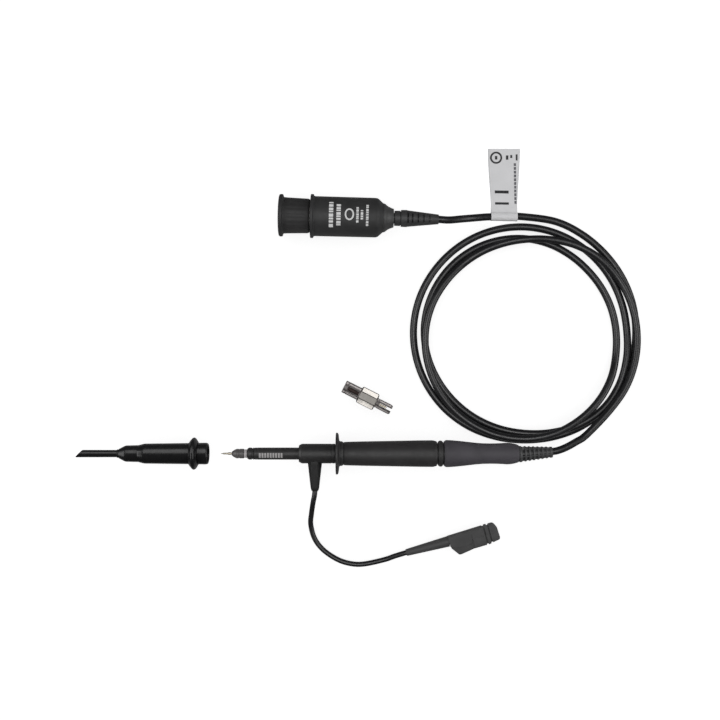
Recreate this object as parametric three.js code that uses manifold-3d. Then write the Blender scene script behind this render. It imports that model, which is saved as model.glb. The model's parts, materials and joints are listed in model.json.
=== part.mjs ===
// A passive oscilloscope probe laid out flat with its loose fittings: probe head, ground lead, coiled
// cable, compensation box with its bayonet plug, hook sleeve and socket adapter. Millimetres, +Z up.
// +X runs along the probe from the needle to the cable, +Y towards the coil, and the surface that
// everything lies on is z = 0. The origin is the bottom centre of the box round everything but the cords.
import * as THREE from 'three';
import { mergeVertices } from 'three/addons/utils/BufferGeometryUtils.js';
import Module from 'manifold-3d';

const wasm = await Module();
wasm.setup();

// ---- Driving dimensions ----

const GAP = 0.3; // between pieces that touch
const FINE = 20; // sides of a turned piece that shows
const PLAIN = 12; // sides of a turned piece inside

const CABLE_R = 1.85;
const LEAD_R = 1.3;

// Probe head, on an axis parallel to X. Its stations count from the finger guard's front face.
const GUARD_X = 11.1;
const PROBE_Y = -8.75;
const PROBE_Z = 10.4; // the finger guard stands on its rim
const NEEDLE_R = 0.45;
const NEEDLE_TIP = -57.75;
const INSULATOR_FRONT = -52.25;
const CONTACT_RING_FRONT = -45.9;
const FERRULE_FRONT = -44.4;
const BARREL_FRONT = -41;
const BARREL_R = 3;
const COLLAR_FRONT = -18.7;
const COLLAR_R = 4.9;
const COLLAR_BORE = 3.8;
const GUARD_R = 10.4;
const HANDLE_FRONT = 3.7;
const MARKER_FRONT = 50.6;
const GRIP_FRONT = 53.6;
const GRIP_REAR = 90.9;
const RELIEF_REAR = 107.8;
const RELIEF_TILT = THREE.MathUtils.degToRad(3.5);
const BRANCH_STATION = -10.75; // where the ground lead's boot leaves the collar
const BOOT_REACH = 18.65; // from the probe's axis to the boot's end

// Hook sleeve, on the probe's axis. Its stations count from the nose's tip.
const HOOK_X = -119;
const HOOK_REAR = 66;
const HOOK_BORE = 3.2;

// Compensation box and bayonet plug. Stations count from the nut's front rim.
const PLUG_POSITION = [-17.4, 110.25, 10.9];
const PLUG_YAW = THREE.MathUtils.degToRad(-1.5);
const BOX_FRONT = 15.7;
const BOX_REAR = 51.75;
const BOX_R = 9.88;
const CAP_REAR = 57.1;
const PLUG_BOOT_REAR = 79.5;
const TRIMMER_STATION = 30;

// Socket adapter
const ADAPTER_POSITION = [15.29, 24.5, 4.6];
const ADAPTER_YAW = THREE.MathUtils.degToRad(-27);

// Ground clip, with its own +X along it and its hinge parallel to Z
const CLIP_POSITION = [46.3, -59.6, 3.4];
const CLIP_YAW = THREE.MathUtils.degToRad(15);
const CLIP_HALF = 3.1; // half its thickness
const LEVER_HALF = 2.2;
const PIVOT = [30, -1.4];
const PIVOT_R = 0.6;

// Cable coil and the label round the cable
const COIL_CENTRE = [107.1, 53.2];
const COIL_INNER = 42;
const COIL_OUTER = 60;
const COIL_HEIGHT = 9.6;
const LABEL_POSITION = [88.6, 110.62, 4.48];
const LABEL_PITCH = THREE.MathUtils.degToRad(6.9);
const LABEL_WIDTH = 14.4;
const LABEL_REACH = 33.5;

// Routes of the cords' free stretches, point by point
const CONNECTOR_RUN = [
  [62.4, 108.16, 10.9],
  [65, 107.95, 10.85],
  [68, 107.95, 10.4],
  [73.5, 108.65, 8.9],
  [80.3, 109.55, 6.4],
  [87.6, 110.35, 4.6],
  [95.9, 110.65, 3.6],
  [104.1, 110.85, 2.6],
];
const PROBE_RUN = [
  [103.2, -8.7, 10.4],
  [111, -8.22, 10.4],
  [118.9, -7.74, 10.4],
  [122.6, -6.95, 10.35],
  [126.6, -5.35, 10],
  [131.5, -2.7, 9.4],
  [136.3, 0.4, 8.7],
];
const LEAD_RUN = [
  [0.35, -27.7, 10.4],
  [0, -30.4, 10.1],
  [-0.6, -33.2, 9.1],
  [-1.6, -39.5, 5.8],
  [-2.1, -45.4, 3],
  [-0.2, -52.8, 1.5],
  [4.2, -58.6, 1.3],
  [11.3, -63.4, 1.3],
  [18.1, -65.6, 1.3],
  [24.9, -65.8, 1.3],
  [35.1, -63.6, 1.4],
  [40.7, -61.5, 2.3],
  [46, -59.68, 3.35],
];

// ---- Materials ----

const finish = (color, roughness, metalness = 0) =>
  new THREE.MeshStandardMaterial({ color, roughness, metalness });
const BLACK = finish(0x1c1c1e, 0.45);
const GREY = finish(0x4a4a4c, 0.5);
const RUBBER = finish(0x38383a, 0.6);
const JACKET = finish(0x2c2c2e, 0.45);
const NICKEL = finish(0xc9c6c0, 0.25, 1);
const GOLD = finish(0xc9b06a, 0.3, 1);
const BRASS = finish(0xb08d4c, 0.35, 1);
const STEEL = finish(0xb4b6b8, 0.3, 1);
const WHITE = finish(0xe9e8e4, 0.5);
const CERAMIC = finish(0xdcd8cc, 0.6);
const BOARD = finish(0x2f6b45, 0.55);
const LABEL = finish(0xd8d9dc, 0.6);

// ---- Shapes ----

// A turned piece on the X axis. The outline is [station, radius] corners: from axis to axis, or a loop.
function turned(outline, sides = FINE) {
  const solid = outline[0][1] === 0;
  const loop = solid ? [...outline] : [...outline, outline[0]];
  let area = 0;
  for (let i = 1; i < loop.length; i++) {
    area += loop[i - 1][0] * loop[i][1] - loop[i][0] * loop[i - 1][1];
  }
  if (area > 0) loop.reverse();
  const points = loop.map(([station, radius]) => new THREE.Vector2(radius, station));
  return new THREE.LatheGeometry(points, sides).rotateZ(-Math.PI / 2);
}

// A turned piece with a bore: both lines of [station, radius] corners run the same way.
function tube(outer, bore, sides = FINE) {
  return turned([...outer, ...[...bore].reverse()], sides);
}

// A plain round tube
function sleeve(from, to, outerR, boreR, sides = PLAIN) {
  return tube([[from, outerR], [to, outerR]], [[from, boreR], [to, boreR]], sides);
}

function rod(from, to, radius, sides = PLAIN) {
  return turned([[from, 0], [from, radius], [to, radius], [to, 0]], sides);
}

function block([x0, x1], [y0, y1], [z0, z1]) {
  const box = new THREE.BoxGeometry(x1 - x0, y1 - y0, z1 - z0);
  return box.translate((x0 + x1) / 2, (y0 + y1) / 2, (z0 + z1) / 2);
}

// A flat outline in X and Y, as thick as z says
function plate(outline, [z0, z1]) {
  const shape = new THREE.Shape(outline.map(([x, y]) => new THREE.Vector2(x, y)));
  const solid = new THREE.ExtrudeGeometry(shape, { depth: z1 - z0, bevelEnabled: false });
  return solid.translate(0, 0, z0);
}

// A round cord or wire along a smooth curve through the points
function strand(points, radius, steps, sides = 8) {
  const section = new THREE.Shape();
  for (let i = 0; i < sides; i++) {
    const angle = (i / sides) * Math.PI * 2;
    const corner = [radius * Math.cos(angle), radius * Math.sin(angle)];
    if (i === 0) section.moveTo(...corner);
    else section.lineTo(...corner);
  }
  section.closePath();
  const extrudePath = new THREE.CatmullRomCurve3(points.map((point) => new THREE.Vector3(...point)));
  return new THREE.ExtrudeGeometry(section, { steps, extrudePath });
}

// A coil spring round the X axis
function spring(from, to, coilR, wireR, turns) {
  const perTurn = 8;
  const count = turns * perTurn;
  const points = [];
  for (let i = 0; i <= count; i++) {
    const angle = (i / perTurn) * Math.PI * 2;
    points.push([from + ((to - from) * i) / count, coilR * Math.cos(angle), coilR * Math.sin(angle)]);
  }
  return strand(points, wireR, count, 6);
}

// A tapering flexible boot: rings with grooves between them
function ribs(from, to, fromR, toR, count, depth) {
  const pitch = (to - from) / count;
  const corners = [];
  for (let i = 0; i < count; i++) {
    const start = from + i * pitch;
    const radius = THREE.MathUtils.lerp(fromR, toR, i / (count - 1));
    corners.push([start, radius], [start + pitch * 0.6, radius]);
    const grooveR = radius - depth;
    if (i < count - 1) corners.push([start + pitch * 0.65, grooveR], [start + pitch * 0.95, grooveR]);
  }
  return corners;
}

// ---- Cutting and joining ----

function toSolid(geometry) {
  const bare = geometry.clone();
  bare.deleteAttribute('normal');
  bare.deleteAttribute('uv');
  const merged = mergeVertices(bare, 1e-4);
  const vertProperties = new Float32Array(merged.attributes.position.array);
  const triVerts = new Uint32Array(merged.index.array);
  return new wasm.Manifold(new wasm.Mesh({ numProp: 3, vertProperties, triVerts }));
}

function toGeometry(solid) {
  const mesh = solid.getMesh();
  const geometry = new THREE.BufferGeometry();
  geometry.setAttribute('position', new THREE.BufferAttribute(mesh.vertProperties, 3));
  geometry.setIndex(new THREE.BufferAttribute(mesh.triVerts, 1));
  geometry.computeVertexNormals();
  return geometry;
}

function cut(geometry, ...tools) {
  return toGeometry(tools.reduce((solid, tool) => solid.subtract(toSolid(tool)), toSolid(geometry)));
}

function join(...pieces) {
  const [first, ...others] = pieces.map(toSolid);
  return toGeometry(others.reduce((solid, other) => solid.add(other), first));
}

// ---- Groups ----

const probe = new THREE.Group();

function frame(position, yaw = 0) {
  const group = new THREE.Group();
  group.position.set(...position);
  group.rotation.z = yaw;
  probe.add(group);
  return group;
}

function piece(group, name, geometry, material) {
  const mesh = new THREE.Mesh(geometry, material);
  mesh.name = name;
  group.add(mesh);
  return mesh;
}

// ---- Probe head ----

const head = frame([GUARD_X, PROBE_Y, PROBE_Z]);

function buildNose() {
  const needle = [
    [NEEDLE_TIP, 0], [NEEDLE_TIP + 1.6, NEEDLE_R], [BARREL_FRONT, NEEDLE_R], [BARREL_FRONT, 0],
  ];
  piece(head, 'tip_needle', turned(needle, PLAIN), GOLD);
  const needleBore = NEEDLE_R + GAP;
  const insulatorRear = CONTACT_RING_FRONT - GAP;
  piece(head, 'tip_insulator', tube(
    [[INSULATOR_FRONT, 0.95], [INSULATOR_FRONT + 1.8, 2.25], [INSULATOR_FRONT + 2.6, 2.4],
      [insulatorRear, 2.4]],
    [[INSULATOR_FRONT, needleBore], [insulatorRear, needleBore]],
  ), BLACK);
  const contactRing = sleeve(CONTACT_RING_FRONT, FERRULE_FRONT - GAP, 2.1, needleBore, FINE);
  piece(head, 'tip_contact_ring', contactRing, NICKEL);
  const ferruleRear = BARREL_FRONT - GAP;
  piece(head, 'barrel_ferrule', tube(
    [[FERRULE_FRONT, 2.5], [FERRULE_FRONT + 0.7, BARREL_R], [ferruleRear - 0.9, BARREL_R],
      [ferruleRear - 0.8, 2.7], [ferruleRear - 0.5, 2.7], [ferruleRear - 0.4, BARREL_R],
      [ferruleRear, BARREL_R]],
    [[FERRULE_FRONT, needleBore], [ferruleRear, needleBore]],
  ), BLACK);
}

function buildBarrel() {
  piece(head, 'barrel_tube', sleeve(BARREL_FRONT, 3, BARREL_R, 2.45, FINE), BLACK);
  piece(head, 'barrel_shield', sleeve(BARREL_FRONT + 0.6, -4, 2.15, 1.85), BRASS);
  const boardFront = BARREL_FRONT + 1.5;
  const boardRear = boardFront + 20;
  piece(head, 'attenuator_board', block([boardFront, boardRear], [-1.3, 1.3], [-0.3, 0.3]), CERAMIC);
  const chip = (from, to) => block([boardFront + from, boardFront + to], [-0.6, 0.6], [0.6, 1.2]);
  piece(head, 'attenuator_resistor', chip(2, 9), BLACK);
  piece(head, 'attenuator_capacitor', chip(11, 14), CERAMIC);
  piece(head, 'signal_wire', rod(boardRear + GAP, 62, 0.35, 8), STEEL);
}

function buildCollar() {
  piece(head, 'ground_contact_ring', sleeve(COLLAR_FRONT + 0.7, -1, 3.5, 3.13), BRASS);
  const body = tube(
    [[COLLAR_FRONT, 4.3], [COLLAR_FRONT + 1.6, COLLAR_R], [-GAP, COLLAR_R]],
    [[COLLAR_FRONT, COLLAR_BORE], [-GAP, COLLAR_BORE]],
  );
  const stub = rod(COLLAR_BORE + 0.35, 5.4, 3.25).rotateZ(-Math.PI / 2).translate(BRANCH_STATION, 0, 0);
  const bore = rod(COLLAR_FRONT - 1, 1, COLLAR_BORE, FINE);
  piece(head, 'ground_collar', cut(join(body, stub), bore), BLACK);
  const boot = tube([[5.7, 3.25], [BOOT_REACH, 1.9]], [[5.7, 1.7], [BOOT_REACH, 1.7]], 16);
  piece(head, 'ground_boot', boot.rotateZ(-Math.PI / 2).translate(BRANCH_STATION, 0, 0), BLACK);
  const terminal = rod(5.7, 12, 1, 8).rotateZ(-Math.PI / 2).translate(BRANCH_STATION, 0, 0);
  piece(head, 'ground_terminal', terminal, BRASS);
}

function buildHandle() {
  const guardRear = HANDLE_FRONT - GAP;
  piece(head, 'finger_guard', tube(
    [[0, 5.6], [0, 8.2], [0.35, GUARD_R - 0.3], [0.7, GUARD_R], [1.1, GUARD_R - 0.2], [1.4, 6], [2, 5.75],
      [guardRear, 5.75]],
    [[0, 3.2], [guardRear, 3.2]],
    24,
  ), BLACK);
  const markerRear = MARKER_FRONT - GAP;
  piece(head, 'handle_front', tube(
    [[HANDLE_FRONT, 5.7], [12, 6], [42, 6.6], [48.5, 6.65], [markerRear, 6]],
    [[HANDLE_FRONT, 4.5], [markerRear, 4.5]],
  ), GREY);
  const gripFront = GRIP_FRONT - GAP;
  piece(head, 'marker_ring', tube(
    [[MARKER_FRONT, 5.7], [MARKER_FRONT + 0.8, 6.5], [gripFront - 0.5, 6.5], [gripFront, 6]],
    [[MARKER_FRONT, 4.5], [gripFront, 4.5]],
  ), GREY);
  piece(head, 'rear_grip', tube(
    [[GRIP_FRONT, 6.4], [GRIP_FRONT + 0.6, 6.8], [60, 6.45], [66, 5.75], [73, 5.1], [80, 5.1], [85.5, 5.45],
      [88, 5.15], [GRIP_REAR, 4.35]],
    [[GRIP_FRONT, 3.35], [GRIP_REAR, 3.35]],
  ), RUBBER);
  piece(head, 'chassis_tube', sleeve(HANDLE_FRONT, 61, 2.6, 2.1), BRASS);
  piece(head, 'coax_crimp', sleeve(62.5, 72, 2.6, CABLE_R + GAP), NICKEL);
  piece(head, 'coax_core_probe', rod(63, GRIP_REAR - 0.2, CABLE_R), JACKET);
}

function buildStrainRelief() {
  const length = RELIEF_REAR - GRIP_REAR;
  const outer = [[-3, 2.8], [GAP, 2.8], ...ribs(GAP + 0.05, length, 4.05, 2.65, 7, 0.7)];
  const bore = [[-3, 2.15], [length, 2.15]];
  const relief = piece(head, 'strain_relief', tube(outer, bore, 16), RUBBER);
  relief.position.x = GRIP_REAR;
  relief.rotation.z = RELIEF_TILT;
}

// ---- Hook sleeve ----

const hook = frame([HOOK_X, PROBE_Y, PROBE_Z]);

function buildHookSleeve() {
  const body = tube(
    [[0, 1.8], [20.5, 1.8], [20.6, 2.1], [21.5, 2.1], [21.6, 2.4], [24.75, 4.05], [31.5, 4.2], [34, 4.95],
      [56.6, 5.25], [57.1, 6.4], [58.3, 7.8], [59, 8.05], [59.7, 7.8], [60.75, 6.2]],
    [[0, 1.05], [23.4, 1.05], [25.2, HOOK_BORE], [33.6, HOOK_BORE], [33.9, 4.15], [56.2, 4.15], [56.3, 5.4],
      [60.75, 5.4]],
  );
  const bevel = block([-6, 0], [-4, 4], [-4, 4]).rotateZ(-Math.PI / 4).translate(1.5, 0, 0);
  piece(hook, 'hook_sleeve', cut(body, bevel), BLACK);
}

function buildHookCarrier() {
  const collarFront = 61.05;
  piece(hook, 'hook_carrier', tube(
    [[31.8, 2.87], [38.2, 2.87], [38.3, 3.82], [collarFront, 3.82], [collarFront, 5.35], [HOOK_REAR, 5.35]],
    [[31.8, 1.5], [33, 1.5], [33.1, 2.56], [38.4, 2.56], [38.6, HOOK_BORE], [63.5, HOOK_BORE],
      [64.5, 4.5], [HOOK_REAR, 4.5]],
  ), BLACK);
  piece(hook, 'hook_socket', sleeve(27.9, 33, 1.2, 0.75), GOLD);
  const wire = [
    [3.2, 0.45, 0], [2.75, 0.4, 0], [2.4, 0, 0], [2.75, -0.4, 0], [3.6, -0.45, 0], [7, -0.2, 0],
    [11, 0, 0], [18, 0, 0], [27.6, 0, 0],
  ];
  piece(hook, 'hook_wire', strand(wire, 0.28, 30, 6), STEEL);
  piece(hook, 'hook_spring', spring(26, 31.2, 2.3, 0.22, 5), STEEL);
}

// ---- Compensation box and bayonet plug ----

const plug = frame(PLUG_POSITION, PLUG_YAW);

// Part of a round wall, between two angles about the X axis
function arcWall([x0, x1], innerR, outerR, fromDeg, toDeg) {
  const from = THREE.MathUtils.degToRad(fromDeg);
  const to = THREE.MathUtils.degToRad(toDeg);
  const shape = new THREE.Shape();
  shape.absarc(0, 0, outerR, from, to, false);
  shape.absarc(0, 0, innerR, to, from, true);
  const wall = new THREE.ExtrudeGeometry(shape, { depth: x1 - x0, bevelEnabled: false, curveSegments: 6 });
  return wall.rotateY(Math.PI / 2).translate(x0, 0, 0);
}

function buildNut() {
  piece(plug, 'nut_cover', tube(
    [[0, 10.2], [0.5, 10.5], [1.7, 10.5], [2.1, 9], [6, 8.87], [14.6, 8.55], [15.3, 8.2]],
    [[0, 7.3], [15.3, 7.3]],
  ), BLACK);
  const shell = tube([[0.3, 6.6], [0.7, 7], [14.6, 7]], [[0.3, 5.2], [14.6, 5.2]]);
  const slots = [];
  for (const side of [0, 180]) {
    slots.push(arcWall([-1, 5.6], 4, 8, side - 12, side + 12));
    slots.push(arcWall([3.2, 5.6], 4, 8, side - 12, side + 60));
  }
  piece(plug, 'nut_shell', cut(shell, ...slots), NICKEL);
}

function buildContacts() {
  const contact = sleeve(1.2, 18.8, 4.05, 3.55, FINE);
  const slits = [0, 90].map((angle) =>
    block([0, 6.5], [-5, 5], [-0.3, 0.3]).rotateX(THREE.MathUtils.degToRad(angle)));
  piece(plug, 'outer_contact', cut(contact, ...slits), NICKEL);
  piece(plug, 'contact_dielectric', sleeve(7, 19, 3.2, 0.97), WHITE);
  piece(plug, 'centre_pin', turned([[2, 0], [2.8, 0.67], [20.1, 0.67], [20.1, 0]], PLAIN), GOLD);
  piece(plug, 'seal_ring', sleeve(9, 10.4, 4.85, 4.4), RUBBER);
  piece(plug, 'spring_washer', sleeve(14.95, 15.35, 6.8, 4.4), STEEL);
  piece(plug, 'front_bulkhead', sleeve(17.4, 19, 8.4, 4.4, FINE), NICKEL);
}

function buildCompensationBox() {
  const keyhole = new THREE.CylinderGeometry(1.6, 1.6, 8, PLAIN).rotateX(Math.PI / 2);
  keyhole.translate(TRIMMER_STATION, 0, -10);
  const housing = tube(
    [[BOX_FRONT, 10.88], [17.1, 10.88], [17.3, BOX_R], [49.25, BOX_R - 0.1], [BOX_REAR, 7.35]],
    [[BOX_FRONT, 8.75], [47.9, 8.75], [48, 5.1], [BOX_REAR, 5.1]],
    24,
  );
  piece(plug, 'connector_housing', cut(housing, keyhole), GREY);
  piece(plug, 'shield_can', cut(sleeve(19.4, 47.6, 8.4, 8.1, FINE), keyhole), NICKEL);
  piece(plug, 'compensation_board', block([20.5, 46.4], [-6.5, 6.5], [-0.6, 0.6]), BOARD);
  piece(plug, 'chip_resistor', block([24, 27.2], [-0.8, 0.8], [0.9, 1.5]), BLACK);
  piece(plug, 'peaking_coil', rod(36, 41, 1.2).translate(0, 3, 2.1), BRASS);
  const t = TRIMMER_STATION;
  piece(plug, 'trimmer_body', block([t - 2.5, t + 2.5], [-2.5, 2.5], [-3.5, -0.9]), WHITE);
  const rotor = new THREE.CylinderGeometry(1.3, 1.3, 1.8, PLAIN);
  rotor.rotateX(Math.PI / 2).translate(t, 0, -4.7);
  const slot = block([t - 2, t + 2], [-0.25, 0.25], [-6, -5]);
  piece(plug, 'trimmer_rotor', cut(rotor, slot), BRASS);
}

function buildRearCap() {
  piece(plug, 'rear_cap', tube(
    [[48.6, 4.75], [BOX_REAR + GAP, 4.75], [BOX_REAR + GAP, 7.1], [54.5, 5.7], [CAP_REAR, 4.6]],
    [[48.6, 2.95], [CAP_REAR, 2.95]],
  ), GREY);
  const neck = CAP_REAR + GAP;
  piece(plug, 'connector_boot', tube(
    [[49, 2.6], [neck, 2.6], [neck + 0.05, 3.85], [60.5, 3.85], [60.7, 4.2], [64, 4.2], [64.3, 3.6],
      ...ribs(64.8, PLUG_BOOT_REAR, 3.95, 2.4, 6, 0.45)],
    [[49, CABLE_R + GAP], [PLUG_BOOT_REAR, CABLE_R + GAP]],
    16,
  ), RUBBER);
  piece(plug, 'coax_core_plug', rod(47, PLUG_BOOT_REAR, CABLE_R), JACKET);
}

// ---- Cable, coil and label ----

function buildCable() {
  piece(probe, 'cable_run_connector', strand(CONNECTOR_RUN, CABLE_R, 16), JACKET);
  piece(probe, 'cable_run_probe', strand(PROBE_RUN, CABLE_R, 14), JACKET);
  const ring = new THREE.LatheGeometry([
    [COIL_INNER, 0], [COIL_OUTER, 0], [COIL_OUTER, 3.2], [55.6, COIL_HEIGHT], [COIL_INNER, COIL_HEIGHT],
    [COIL_INNER, 0],
  ].map(([radius, height]) => new THREE.Vector2(radius, height)), 48).rotateX(Math.PI / 2);
  const coil = ring.translate(COIL_CENTRE[0], COIL_CENTRE[1], 0);
  const notch = block([80, 104.6], [107, 120], [-1, COIL_HEIGHT + 1]);
  piece(probe, 'cable_coil', cut(coil, notch), JACKET);
}

// A strip folded round the cable, its two halves stuck together as a flag
function buildLabel() {
  const outerR = CABLE_R + GAP + 0.3;
  const half = 0.3;
  const mouth = Math.asin(half / outerR);
  const section = new THREE.Shape();
  section.moveTo(LABEL_REACH, half);
  section.absarc(0, 0, outerR, mouth, Math.PI * 2 - mouth, false);
  section.lineTo(LABEL_REACH, -half);
  section.closePath();
  const tunnel = new THREE.Path();
  tunnel.absarc(0, 0, CABLE_R + GAP, 0, Math.PI * 2, true);
  section.holes.push(tunnel);
  const along = { depth: LABEL_WIDTH, bevelEnabled: false, curveSegments: 12 };
  const flag = new THREE.ExtrudeGeometry(section, along);
  const alongX = new THREE.Matrix4().makeBasis(
    new THREE.Vector3(0, 1, 0), new THREE.Vector3(0, 0, 1), new THREE.Vector3(1, 0, 0));
  const label = piece(probe, 'label_flag', flag.applyMatrix4(alongX), LABEL);
  label.position.set(...LABEL_POSITION);
  label.rotation.y = LABEL_PITCH;
}

// ---- Ground lead and clip ----

const clip = frame(CLIP_POSITION, CLIP_YAW);

function buildGroundClip() {
  piece(probe, 'ground_lead', strand(LEAD_RUN, LEAD_R, 26), JACKET);
  piece(clip, 'clip_sleeve', turned([[0, 0], [0, 1.75], [21.9, 2.6], [21.9, 0]], 16), BLACK);
  const pivotHole = new THREE.CylinderGeometry(PIVOT_R + GAP, PIVOT_R + GAP, 8, PLAIN).rotateX(Math.PI / 2);
  pivotHole.translate(...PIVOT, 0);
  const roof = plate([[22.2, 0.9], [34, 0.9], [34, -1.2], [47.6, -1.2], [47.4, 1.6], [46, 3.1], [40.4, 3.1],
    [22.2, 2.55]], [-CLIP_HALF, CLIP_HALF]);
  const cheek = [[22.2, 1], [22.2, -2.6], [27, -3.9], [31, -3.9], [33.7, -2.9], [33.7, 1]];
  const cheeks = [[-CLIP_HALF, -LEVER_HALF - GAP], [LEVER_HALF + GAP, CLIP_HALF]];
  const body = join(roof, ...cheeks.map((side) => plate(cheek, side)));
  piece(clip, 'clip_body', cut(body, pivotHole), BLACK);
  const lever = plate([[22.4, -2.9], [22.4, -3.6], [24.7, -7.15], [26.4, -7.6], [34.5, -6.3], [34.5, -1.55],
    [31.1, -0.3], [28.9, -0.3]], [-LEVER_HALF, LEVER_HALF]);
  const jaw = plate([[34.4, -6.3], [41, -6.1], [46, -5.2], [47.4, -3.8], [47.6, -1.55], [34.4, -1.55]],
    [-CLIP_HALF, CLIP_HALF]);
  const pocket = block([28.2, 31.8], [-3.4, 0.4], [-0.9, 0.9]);
  piece(clip, 'clip_jaw', cut(join(lever, jaw), pivotHole, pocket), BLACK);
  const pin = new THREE.CylinderGeometry(PIVOT_R, PIVOT_R, 6, PLAIN).rotateX(Math.PI / 2);
  piece(clip, 'clip_pin', pin.translate(...PIVOT, 0), STEEL);
  const coil = spring(-0.6, 0.6, 1.2, 0.18, 2).rotateY(Math.PI / 2).translate(...PIVOT, 0);
  piece(clip, 'clip_spring', coil, STEEL);
}

// ---- Socket adapter ----

const adapter = frame(ADAPTER_POSITION, ADAPTER_YAW);

function buildAdapter() {
  const slit = (from, to) => block([from, to], [-0.7, 0.7], [-5, 5]);
  piece(adapter, 'adapter_body', tube(
    [[8.2, 3.9], [8.8, 4.6], [17, 4.6], [17.6, 3.9]],
    [[8.2, 3.55], [12, 3.55], [12, 2.8], [17.6, 2.8]],
  ), NICKEL);
  piece(adapter, 'adapter_socket', cut(sleeve(0, 11.7, 3.25, 2.6, FINE), slit(1.6, 7.8)), NICKEL);
  piece(adapter, 'adapter_plug', cut(sleeve(12.3, 26.1, 2.5, 1.9, FINE), slit(19.5, 27)), NICKEL);
  piece(adapter, 'adapter_insulator', sleeve(13, 18.5, 1.6, 0.8), WHITE);
  piece(adapter, 'adapter_contact', rod(9.5, 23.5, 0.5, 8), GOLD);
}

buildNose();
buildBarrel();
buildCollar();
buildHandle();
buildStrainRelief();
buildHookSleeve();
buildHookCarrier();
buildNut();
buildContacts();
buildCompensationBox();
buildRearCap();
buildCable();
buildLabel();
buildGroundClip();
buildAdapter();

export default probe;
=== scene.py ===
import json
import math

import bmesh
import bpy
from mathutils import Matrix, Vector

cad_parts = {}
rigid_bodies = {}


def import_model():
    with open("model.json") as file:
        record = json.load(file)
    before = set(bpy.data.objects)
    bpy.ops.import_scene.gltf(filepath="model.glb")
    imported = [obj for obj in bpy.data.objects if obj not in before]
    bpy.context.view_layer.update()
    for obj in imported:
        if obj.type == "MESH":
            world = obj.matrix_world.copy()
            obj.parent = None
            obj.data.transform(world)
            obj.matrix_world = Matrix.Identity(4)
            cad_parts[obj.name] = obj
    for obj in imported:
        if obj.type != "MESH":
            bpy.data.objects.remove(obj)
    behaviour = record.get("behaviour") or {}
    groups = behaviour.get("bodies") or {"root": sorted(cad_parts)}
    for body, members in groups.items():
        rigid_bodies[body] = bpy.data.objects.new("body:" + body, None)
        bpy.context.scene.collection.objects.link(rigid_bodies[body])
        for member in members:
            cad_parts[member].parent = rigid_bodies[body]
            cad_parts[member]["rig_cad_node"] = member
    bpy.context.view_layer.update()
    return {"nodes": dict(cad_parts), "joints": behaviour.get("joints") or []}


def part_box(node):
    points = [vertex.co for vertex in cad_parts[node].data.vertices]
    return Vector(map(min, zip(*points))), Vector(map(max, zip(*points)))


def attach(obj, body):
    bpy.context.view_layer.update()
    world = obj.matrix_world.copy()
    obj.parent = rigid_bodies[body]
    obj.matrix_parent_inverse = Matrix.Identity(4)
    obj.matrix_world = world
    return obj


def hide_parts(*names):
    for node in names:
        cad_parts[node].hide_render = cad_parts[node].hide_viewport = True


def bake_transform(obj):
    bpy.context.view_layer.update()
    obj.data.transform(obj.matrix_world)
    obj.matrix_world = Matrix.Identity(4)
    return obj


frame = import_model()

# A passive oscilloscope probe set: probe head, ground lead and clip, coiled cable with its label,
# compensation box with bayonet plug, hook sleeve and socket adapter. Local measures are in
# millimetres along each part's own X axis ("stations"), and a place matrix carries them into the row frame.

MM = 0.001
SIDES = 80  # round a turned piece
ARC_STEPS = 4  # in a rounded corner of an outline
CORNER_SHARE = 0.45  # of an edge that one rounded corner may take
CREASE = math.radians(34)  # sharper edges stay sharp in the shading
BEVEL_ANGLE = math.radians(40)
GAP = 0.3  # between pieces that touch
CABLE_R = 1.85
LEAD_R = 1.3


# ---- Places ----

def place(origin, yaw=0.0):
    return Matrix.Translation(origin) @ Matrix.Rotation(yaw, 4, "Z") @ Matrix.Scale(MM, 4)


def centre(node):
    low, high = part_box(node)
    return (low + high) / 2


JOINTS = {joint["name"]: joint for joint in frame["joints"]}
HOOK_REAR = 66
ADAPTER_CONTACT_MIDDLE = 16.5
ADAPTER_YAW = math.radians(-27)
CLIP_YAW = math.radians(15)
CLIP_PIVOT = Vector((30, -1.4, 0))

guard_middle = centre("finger_guard")
HEAD = place((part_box("finger_guard")[0].x, guard_middle.y, guard_middle.z))
HOOK = place((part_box("hook_carrier")[1].x - HOOK_REAR * MM, guard_middle.y, guard_middle.z))
nut_axis = JOINTS["nut_turn"]["axis"]
PLUG = place(JOINTS["nut_turn"]["pos_m"], math.atan2(nut_axis[1], nut_axis[0]))
clip_hinge = Vector(JOINTS["clip_open"]["pos_m"])
CLIP = place(clip_hinge - Matrix.Rotation(CLIP_YAW, 3, "Z") @ (CLIP_PIVOT * MM), CLIP_YAW)
adapter_reach = Matrix.Rotation(ADAPTER_YAW, 3, "Z") @ Vector((ADAPTER_CONTACT_MIDDLE * MM, 0, 0))
ADAPTER = place(centre("adapter_contact") - adapter_reach, ADAPTER_YAW)
ROW = place((0, 0, 0))


# ---- Materials ----

NOISE_LOW, NOISE_HIGH = 0.3, 0.7  # nearly all of a noise lies between these
SMOOTHEST = 0.03  # roughness that no finish goes below


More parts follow.
